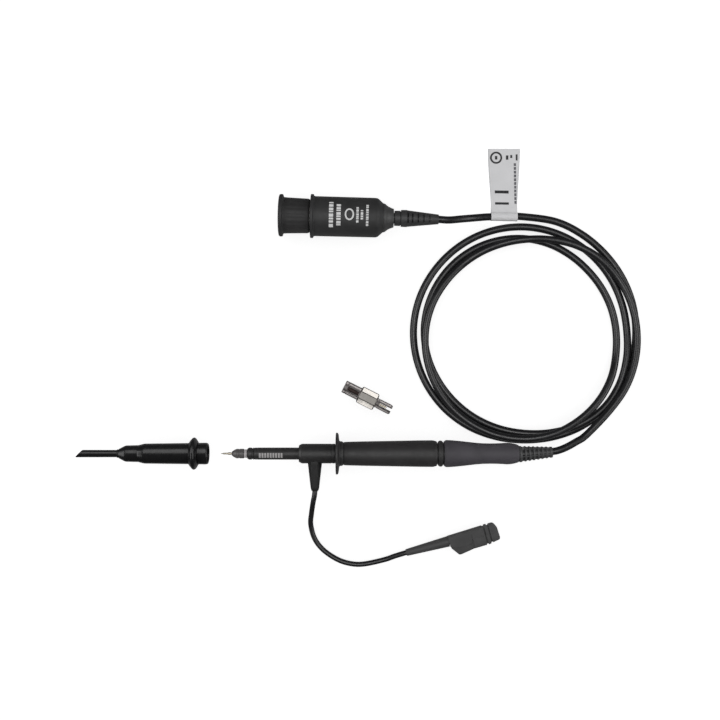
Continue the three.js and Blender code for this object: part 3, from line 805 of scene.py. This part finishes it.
CONNECTOR_RUN = [
    (62.4, 108.16, 10.9), (65, 107.95, 10.85), (68, 107.95, 10.4), (73.5, 108.65, 8.9),
    (80.3, 109.55, 6.4), (87.6, 110.35, 4.6), (95.9, 110.65, 3.6), (104.1, 110.85, 2.6),
]
PROBE_RUN = [
    (103.2, -8.7, 10.4), (111, -8.22, 10.4), (118.9, -7.74, 10.4), (122.6, -6.95, 10.35),
    (126.6, -5.35, 10), (131.5, -2.7, 9.4), (136.3, 0.4, 8.7),
]
LEAD_RUN = [
    (0.35, -26.2, 10.4), (0.35, -27.7, 10.4), (0, -30.4, 10.1), (-0.6, -33.2, 9.1), (-1.6, -39.5, 5.8),
    (-2.1, -45.4, 3), (-0.2, -52.8, 1.5), (4.2, -58.6, 1.3), (11.3, -63.4, 1.3), (18.1, -65.6, 1.3),
    (24.9, -65.8, 1.3), (35.1, -63.6, 1.4), (40.7, -61.5, 2.3), (46, -59.68, 3.35), (48, -59.15, 3.4),
]
COIL_CENTRE = (107.1, 53.2)
# Distance of the cable from the coil's centre at each eighth of a turn, clockwise from the top
COIL_RADII = [
    57.8, 55.85, 56.0, 56.8, 55.85, 57.3, 57.05, 54.7,
    52.4, 50.7, 51.2, 55.3, 52.35, 51.35, 51.6, 49.65,
    46.45, 43.8, 45.85, 50.6, 54.8, 54.5, 51.1, 46.3,
    45.7, 51.4, 55.4, 57.7,
]
STEPS_PER_TURN = 24
HUMP = 0.57  # how fast the cable drops away from where it crosses itself, mm per step squared
HUMP_REACH = 6  # steps on each side of a crossing that it lifts
CORE_STATIONS = (74, 66, 58, 50)  # where the cable runs on inside the plug's boot
CABLE_STEP = 2.0


def coil_route():
    """The turns as points, each lying on the table or on the turns below it"""
    per_knot = STEPS_PER_TURN // 8
    count = (len(COIL_RADII) - 1) * per_knot + 1
    radii = [between(COIL_RADII, step // per_knot, step % per_knot / per_knot) for step in range(count)]
    heights = [CABLE_R] * count
    across = 2 * CABLE_R
    for turn_start in range(0, count, STEPS_PER_TURN):
        turn = range(turn_start, min(turn_start + STEPS_PER_TURN, count))
        for step in turn:
            for below in range(step - STEPS_PER_TURN, -1, -STEPS_PER_TURN):
                apart = abs(radii[step] - radii[below])
                if apart < across:
                    on_top = heights[below] + math.sqrt(across ** 2 - apart ** 2)
                    heights[step] = max(heights[step], on_top)
        raised = list(heights)
        for step in turn:
            near = range(max(step - HUMP_REACH, 0), min(step + HUMP_REACH + 1, count))
            heights[step] = max(raised[k] - HUMP * (k - step) ** 2 for k in near)
    route = []
    for step in range(1, count):
        angle = math.pi / 2 - 2 * math.pi * step / STEPS_PER_TURN
        x = COIL_CENTRE[0] + radii[step] * math.cos(angle)
        y = COIL_CENTRE[1] + radii[step] * math.sin(angle)
        route.append((x, y, heights[step]))
    return route


def cable_route():
    """From inside the probe's relief, round the coil and into the plug's boot. The coil and the stretch
    to the plug are listed from the plug's side."""
    plug_origin = PLUG.to_translation() / MM
    plug_axis = (PLUG.to_3x3() @ Vector((1, 0, 0))).normalized()
    inside = [plug_origin + plug_axis * station for station in CORE_STATIONS]
    return [*PROBE_RUN, *reversed(coil_route()), *reversed(CONNECTOR_RUN), *inside]


def build_cable():
    path = smooth_path(cable_route(), CABLE_STEP)
    curve = bpy.data.curves.new("cable", "CURVE")
    curve.dimensions = "3D"
    curve.bevel_depth = CABLE_R * MM
    curve.bevel_resolution = 6
    curve.use_fill_caps = True
    spline = curve.splines.new("POLY")
    spline.points.add(len(path) - 1)
    for point, here in zip(spline.points, path):
        point.co = (*(here * MM), 1)
    cable = show(bpy.data.objects.new("cable", curve))
    dress(cable, "jacket")
    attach(cable, "probe")
    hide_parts("cable_run_probe", "cable_coil", "cable_run_connector", "coax_core_plug")
    return cable


LABEL_START = 88.6
LABEL_Y = 110.62
LABEL_HEIGHT = 4.48
LABEL_SLOPE = math.tan(math.radians(6.9))
LABEL_END_Y = 145.6
LABEL_REST = 0.7  # height at which its far edge lies
LABEL_FALL_START, LABEL_FALL = 3, 26  # how far from the cable it starts to come down, and over what length
LABEL_LEFT, LABEL_RIGHT, WRAP_RIGHT = 89.1, 102.5, 102.6
LABEL_ACROSS = 10  # faces across the film
LABEL_ROW = 1.5  # length of a flap's faces
LABEL_ROWS = 20
WRAP_STEPS = 24
WRAP_START, WRAP_END = 22, 338  # degrees round the cable
WRAP_R = CABLE_R + 0.4
UPPER_FLAP = 0.16, 0.3  # lift and skew
LOWER_FLAP = 0, 0.9
FILM = 0.1
INK_LOW, INK_HIGH = 0.2, 0.26  # over the lower flap


def cable_height(x):
    return LABEL_HEIGHT - (x - LABEL_START) * LABEL_SLOPE


def label_height(x, y):
    """Height of the lower flap, which eases down from the cable to the table"""
    share = ease((y - LABEL_Y - LABEL_FALL_START) / LABEL_FALL)
    return cable_height(x) + (LABEL_REST - cable_height(x)) * share


def film_row(bm, left, right, place_at):
    """Corners across the film. place_at(x) gives their y and z."""
    row = []
    for k in range(LABEL_ACROSS + 1):
        x = left + (right - left) * k / LABEL_ACROSS
        row.append(bm.verts.new((x, *place_at(x))))
    return row


def flap_row(bm, y, lift, skew):
    """A row of a flap, lift over the lower one. A flap widens towards its free end, more with more skew."""
    t = ease((y - LABEL_Y) / (LABEL_END_Y - LABEL_Y))
    left, right = LABEL_LEFT - (0.2 + skew) * t, LABEL_RIGHT + (1.0 + skew) * t
    return film_row(bm, left, right, lambda x: (y, label_height(x, y) + lift))


def wrap_row(bm, angle):
    """A row of the film where it goes round the cable"""
    y = LABEL_Y + WRAP_R * math.cos(angle)
    return film_row(bm, LABEL_LEFT, WRAP_RIGHT, lambda x: (y, cable_height(x) + WRAP_R * math.sin(angle)))


def build_label():
    """One film: in along the upper flap, round the cable, and out along the lower flap"""
    bm = bmesh.new()
    from_end = [LABEL_END_Y - k * LABEL_ROW for k in range(LABEL_ROWS)]
    turns = [WRAP_START + (WRAP_END - WRAP_START) * k / WRAP_STEPS for k in range(WRAP_STEPS + 1)]
    rows = [flap_row(bm, y, *UPPER_FLAP) for y in from_end]
    rows += [wrap_row(bm, math.radians(turn)) for turn in turns]
    rows += [flap_row(bm, y, *LOWER_FLAP) for y in reversed(from_end)]
    for a, b in zip(rows, rows[1:]):
        for k in range(LABEL_ACROSS):
            bm.faces.new((a[k], a[k + 1], b[k + 1], b[k]))
    label = make("label", bm, ROW, "probe", "label", "label_flag")
    thick = label.modifiers.new("thickness", "SOLIDIFY")
    thick.thickness = FILM * MM
    thick.offset = 0
    bake(label)
    return label


def label_patch(bm, x, y):
    """A thin printed rectangle lying on the flag"""
    steps = 4
    rims = []
    for lift in (INK_LOW, INK_HIGH):
        rows = []
        for i in range(steps + 1):
            px = x[0] + (x[1] - x[0]) * i / steps
            along = [y[0] + (y[1] - y[0]) * j / steps for j in range(steps + 1)]
            rows.append([bm.verts.new((px, py, label_height(px, py) + lift)) for py in along])
        for a, b in zip(rows, rows[1:]):
            for j in range(steps):
                bm.faces.new((a[j], b[j], b[j + 1], a[j + 1]))
        near, far = [row[0] for row in rows], [row[-1] for row in rows]
        rims.append([*near[:-1], *rows[-1][:-1], *far[:0:-1], *rows[0][:0:-1]])
    join(bm, *rims)


def build_label_marks():
    bm = bmesh.new()
    printed_ring(
        bm, (92.2, 141.0), ((2.2, 2.2), (3.1, 3.1)), (INK_LOW, INK_HIGH), 32,
        lambda x, y, lift: label_height(x, y) + lift)
    for x, y in (
            ((91.6, 92.8), (140.1, 141.9)), ((102.2, 103.1), (139.6, 142.7)),
            ((97.2, 98.4), (140.0, 142.2)), ((99.4, 100.4), (140.9, 142.4)),
            ((91.2, 98.3), (122.45, 123.95)), ((91.2, 98.3), (116.35, 117.85))):
        label_patch(bm, x, y)
    dark = make("label_print", bm, ROW, "probe", "ink")
    bm = bmesh.new()
    for i in range(12):
        start = 138.2 - i * 1.95
        label_patch(bm, (101.2, 102.3), (start - 1.45, start))
    pale = make("label_fine_print", bm, ROW, "probe", "pale_ink")
    return [dark, pale]


# ---- Ground lead and clip ----

def build_lead():
    path = smooth_path(LEAD_RUN, 1.2)
    lead = make("lead", swept(path, LEAD_R, 24), ROW, None, "jacket", "ground_lead")
    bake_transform(lead)
    return lead, path


CLIP_HALF = 3.1
LEVER_HALF = 2.4
CLIP_EDGE = 0.14
CLIP_GROOVES = ((40.55, 41.25), (42.9, 43.5))


def groove_tools():
    """Cutters for the grooves across the nose's top and bottom faces"""
    faces = ((CLIP_HALF - 0.9, CLIP_HALF + 1), (-CLIP_HALF - 1, 0.9 - CLIP_HALF))
    return [tool(block(x, (-8, 4), z), CLIP) for x in CLIP_GROOVES for z in faces]


def build_clip():
    """The clip's insulated body: a sleeve, a fixed shell with a ribbed nose, and a lever with its jaw."""
    sleeve = make("clip_boot", turned([
        [0, 0], [0, 1.6], [0.3, 1.75, 0.2], [22.2, 2.7], [22.2, 0],
    ], 64), CLIP, "probe", "sleeve_black", "clip_sleeve")
    roof = make("clip_shell", plate([
        [22.3, 0.9], [34, 0.9], [34, -1.38], [47.6, -1.38, 0.3], [47.4, 1.6, 0.8], [46.2, 3.1, 1.0],
        [44.4, 3.1, 0.2], [43.7, 2.95, 0.1], [43.5, 2.6, 0.1], [42.9, 2.6, 0.1], [42.7, 3.15, 0.15],
        [41.6, 3.2, 0.15], [41.25, 2.75, 0.1], [40.55, 2.75, 0.1], [40.3, 3.0, 0.15], [22.3, 2.3],
    ], -CLIP_HALF, CLIP_HALF), CLIP, "probe", "clip_black", "clip_body")
    cheek = [
        [22.3, 1.1], [22.3, -2.5, 0.3], [27, -3.9, 1.0], [31.6, -3.9, 1.2], [33.9, -2.75, 0.4], [33.9, 1.1]]
    cheeks = [tool(plate(cheek, low, high), CLIP) for low, high in ((-CLIP_HALF, -2.5), (2.5, CLIP_HALF))]
    combine(roof, "UNION", *cheeks)
    combine(roof, "DIFFERENCE", *groove_tools())
    bevel(roof, CLIP_EDGE)
    jaw = make("clip_lever", plate([
        [22.7, -2.9], [22.7, -3.5], [25.6, -7.45, 0.5], [26.6, -7.6, 0.5], [34.5, -6.3],
        [34.5, -1.6], [33.5, -1.5], [31.1, -0.3, 0.4], [28.9, -0.3, 0.4],
    ], -LEVER_HALF, LEVER_HALF), CLIP, "clip_jaw", "clip_black", "clip_jaw")
    nose = tool(plate([
        [34.15, -6.3, 0.1], [40.4, -6.15, 0.15], [40.55, -5.8, 0.1], [41.25, -5.75, 0.1], [41.5, -6.2, 0.15],
        [42.7, -6.0, 0.15], [42.9, -5.5, 0.1], [43.5, -5.4, 0.1], [43.7, -5.7, 0.2], [47.3, -5.1, 0.5],
        [47.7, -4.2, 0.5], [47.6, -1.42, 0.3], [34.15, -1.42],
    ], -CLIP_HALF, CLIP_HALF), CLIP)
    combine(jaw, "UNION", nose)
    combine(jaw, "DIFFERENCE", *groove_tools())
    hole = turned([[-4, 0], [-4, 0.9], [4, 0.9], [4, 0]], 32)
    upright = Matrix.Translation(CLIP_PIVOT) @ Matrix.Rotation(math.pi / 2, 4, "Y")
    hole.transform(upright)
    combine(jaw, "DIFFERENCE", tool(hole, CLIP), tool(block((28.2, 31.8), (-3.4, 0.4), (-0.9, 0.9)), CLIP))
    bevel(jaw, CLIP_EDGE)
    pin = turned([[-2.45, 0], [-2.45, 0.6, 0.1], [2.45, 0.6, 0.1], [2.45, 0]], 32)
    pin.transform(upright)
    pin = make("clip_rivet", pin, CLIP, "probe", "steel", "clip_pin")
    return [sleeve, roof, jaw, pin, frame["nodes"]["clip_spring"]]


# ---- Socket adapter ----

def build_adapter():
    def eight_sided(_, angle, radius):
        """The body's outer wall has eight flats; its ends and its bore are round."""
        return radius if radius < 3.7 else radius * faceted(angle, 8, 1.06)

    make("adapter_barrel", turned(tube(
        [[8.2, 3.75, 0.15], [8.7, 4.35, 0.15], [17.1, 4.35, 0.15], [17.6, 3.75, 0.15]],
        [[8.2, 3.55], [12, 3.55], [12, 2.8], [17.6, 2.8]],
    ), 128, eight_sided), ADAPTER, "adapter", "nickel", "adapter_body")
    socket = make("adapter_female", turned(tube(
        [[-0.5, 3.1, 0.15], [-0.2, 3.25, 0.1], [1.0, 3.25, 0.1], [1.15, 3.12, 0.05], [1.35, 3.12, 0.05],
         [1.5, 3.25, 0.1], [11.7, 3.25]],
        [[-0.5, 2.6, 0.1], [11.7, 2.6]],
    )), ADAPTER, "adapter", "satin_nickel", "adapter_socket")
    combine(socket, "DIFFERENCE", tool(block((1.6, 7.8), (-0.95, 0.95), (0, 5)), ADAPTER))
    # A thin dark sleeve just inside the socket's bore, painted shade that darkens the slot's window; it
    # stands for no CAD part.
    make("adapter_lining", turned(bored(2.5, [
        [0.4, 2.6], [9, 2.6],
    ])), ADAPTER, "adapter", "painted_shade_nickel")
    prongs = make("adapter_male", turned(tube(
        [[12.3, 2.5], [18.2, 2.5, 0.1], [18.4, 2.35, 0.05], [18.8, 2.35, 0.05], [19.0, 2.5, 0.1],
         [25.3, 2.55, 0.3], [26.1, 2.2, 0.2]],
        [[12.3, 1.9], [26.1, 1.9, 0.1]],
    )), ADAPTER, "adapter", "satin_nickel", "adapter_plug")
    combine(prongs, "DIFFERENCE", tool(block((19.5, 27), (-0.7, 0.7), (-5, 5)), ADAPTER))
    make("adapter_bead", turned(bored(0.8, [
        [13, 1.6, 0.1], [18.5, 1.6, 0.1],
    ]), 48), ADAPTER, "adapter", "white", "adapter_insulator")
    make("adapter_pin", turned([
        [9.5, 0], [9.5, 0.5, 0.1], [23.2, 0.5, 0.3], [23.5, 0.25, 0.1], [23.5, 0],
    ], 32), ADAPTER, "adapter", "gold", "adapter_contact")


# ---- CAD nodes that stay as they are, inside ----

KEPT_LOOKS = {
    "barrel_shield": "brass", "attenuator_board": "ceramic", "attenuator_resistor": "black",
    "attenuator_capacitor": "ceramic", "signal_wire": "steel", "ground_contact_ring": "brass",
    "ground_terminal": "brass", "chassis_tube": "brass", "coax_crimp": "nickel",
    "coax_core_probe": "jacket", "seal_ring": "boot", "spring_washer": "steel", "front_bulkhead": "nickel",
    "shield_can": "nickel", "compensation_board": "board", "chip_resistor": "black",
    "peaking_coil": "brass", "trimmer_body": "white", "trimmer_rotor": "brass", "clip_spring": "steel",
}


# ---- Studio ----

CAMERA_X, CAMERA_Y, CAMERA_HEIGHT = 0.022875, 0.038, 0.5
VIEW_HEIGHT = 0.01  # the height at which the frame is FRAME_WIDTH across
FRAME_WIDTH = 0.36
SENSOR = 36
DOME_STRENGTH = 0.35
FLOOR_REACH = 3
PAPER_GLOW = 0.8
WHITE = (1, 1, 1, 1)
# Materials that the metal panels light
METALS = ("nickel_plate", "satin_nickel", "painted_shade_nickel", "gold_plate", "brass_drawn", "spring_steel")


def panel(name, tilt_deg, turn_deg, distance, width, depth, radiance, lit=None):
    """A soft light panel that faces the middle of the set, tilt degrees down from overhead towards a heading.
    It lights and is shaded by the lit pieces alone, if any are given."""
    lamp = bpy.data.lights.new(name, "AREA")
    lamp.shape = "RECTANGLE"
    lamp.size = width
    lamp.size_y = depth
    lamp.energy = radiance * math.pi * width * depth
    turn = Matrix.Rotation(math.radians(turn_deg), 4, "Z") @ Matrix.Rotation(math.radians(-tilt_deg), 4, "X")
    box = show(bpy.data.objects.new(name, lamp))
    middle = Matrix.Translation((CAMERA_X, CAMERA_Y, 0))
    box.matrix_world = middle @ turn @ Matrix.Translation((0, 0, distance))
    box.visible_camera = False
    if lit:
        group = bpy.data.collections.new(name + "_lit")
        for piece in lit:
            group.objects.link(piece)
        box.light_linking.receiver_collection = group
        box.light_linking.blocker_collection = group


def build_floor():
    mesh = bpy.data.meshes.new("floor")
    near, far = -FLOOR_REACH, FLOOR_REACH
    mesh.from_pydata([(near, near, 0), (far, near, 0), (far, far, 0), (near, far, 0)], [], [(0, 1, 2, 3)])
    paper = material("studio_paper", (0.8, 0.8, 0.8), 0.9, mottle=0.0, specular=0.1, grain=2, depth=0.0)
    shader = paper.node_tree.nodes["Principled BSDF"]
    shader.inputs["Emission Color"].default_value = WHITE
    shader.inputs["Emission Strength"].default_value = PAPER_GLOW
    mesh.materials.append(paper)
    floor = show(bpy.data.objects.new("floor", mesh))
    floor.visible_glossy = False


def build_dome():
    world = bpy.data.worlds.new("studio")
    bpy.context.scene.world = world
    world.use_nodes = True
    background = world.node_tree.nodes["Background"]
    background.inputs["Color"].default_value = WHITE
    background.inputs["Strength"].default_value = DOME_STRENGTH
    world.cycles_visibility.glossy = False


def build_panels():
    pieces = [piece for piece in bpy.context.scene.objects if piece.type in ("MESH", "CURVE")]
    metal = [piece for piece in pieces if piece.data.materials and piece.data.materials[0].name in METALS]
    plastic = [piece for piece in pieces if piece not in metal]
    hook = named("hook_shell", "hook_carrier_tube")
    matt = [piece for piece in plastic if piece not in hook]
    cords = named("cable", "lead")
    panel("overhead", 0, 0, 1.1, 1.2, 1.2, 0.5, [*matt, *metal])
    panel("overhead_matt", 0, 0, 1.1, 0.75, 0.75, 1.45, matt)
    panel("overhead_cords", 0, 0, 1.1, 0.3, 0.3, 2.4, cords)
    panel("hook_key", 30, 0, 1.0, 1.0, 0.8, 2.1, hook)
    panel("side_right", 60, -90, 1.0, 1.0, 0.5, 2.5, plastic)
    panel("side_left", 60, 90, 1.0, 1.0, 0.5, 2.5, plastic)
    panel("floor_sheen", 180, 0, 0.6, 2.0, 2.0, 0.25, plastic)
    across = math.degrees(ADAPTER_YAW)
    for side, tilt, turn, radiance in (
            ("far", 88, 0, 1.6), ("near", 88, 180, 1.6), ("left", 80, 90, 1.1), ("right", 80, -90, 1.1)):
        panel("horizon_" + side, tilt, across + turn, 1.0, 1.0, 0.5, radiance, metal)


def build_camera():
    lens = bpy.data.cameras.new("camera")
    lens.sensor_width = SENSOR
    lens.lens = SENSOR * (CAMERA_HEIGHT - VIEW_HEIGHT) / FRAME_WIDTH
    lens.clip_start = 0.01
    camera = show(bpy.data.objects.new("camera", lens))
    camera.location = (CAMERA_X, CAMERA_Y, CAMERA_HEIGHT)
    bpy.context.scene.camera = camera
    bpy.context.scene.view_settings.view_transform = "Standard"


build_nose()
build_collar()
build_handle()
build_relief()
build_hook()
build_hook_spring()
build_plug()
build_plug_boot()
cut_keyhole()
build_marks()
cable = build_cable()
label = build_label()
label_marks = build_label_marks()
lead, lead_path = build_lead()
clip_pieces = build_clip()
build_adapter()
for name, look in KEPT_LOOKS.items():
    dress(frame["nodes"][name], look)

build_panels()
build_floor()
build_dome()
build_camera()
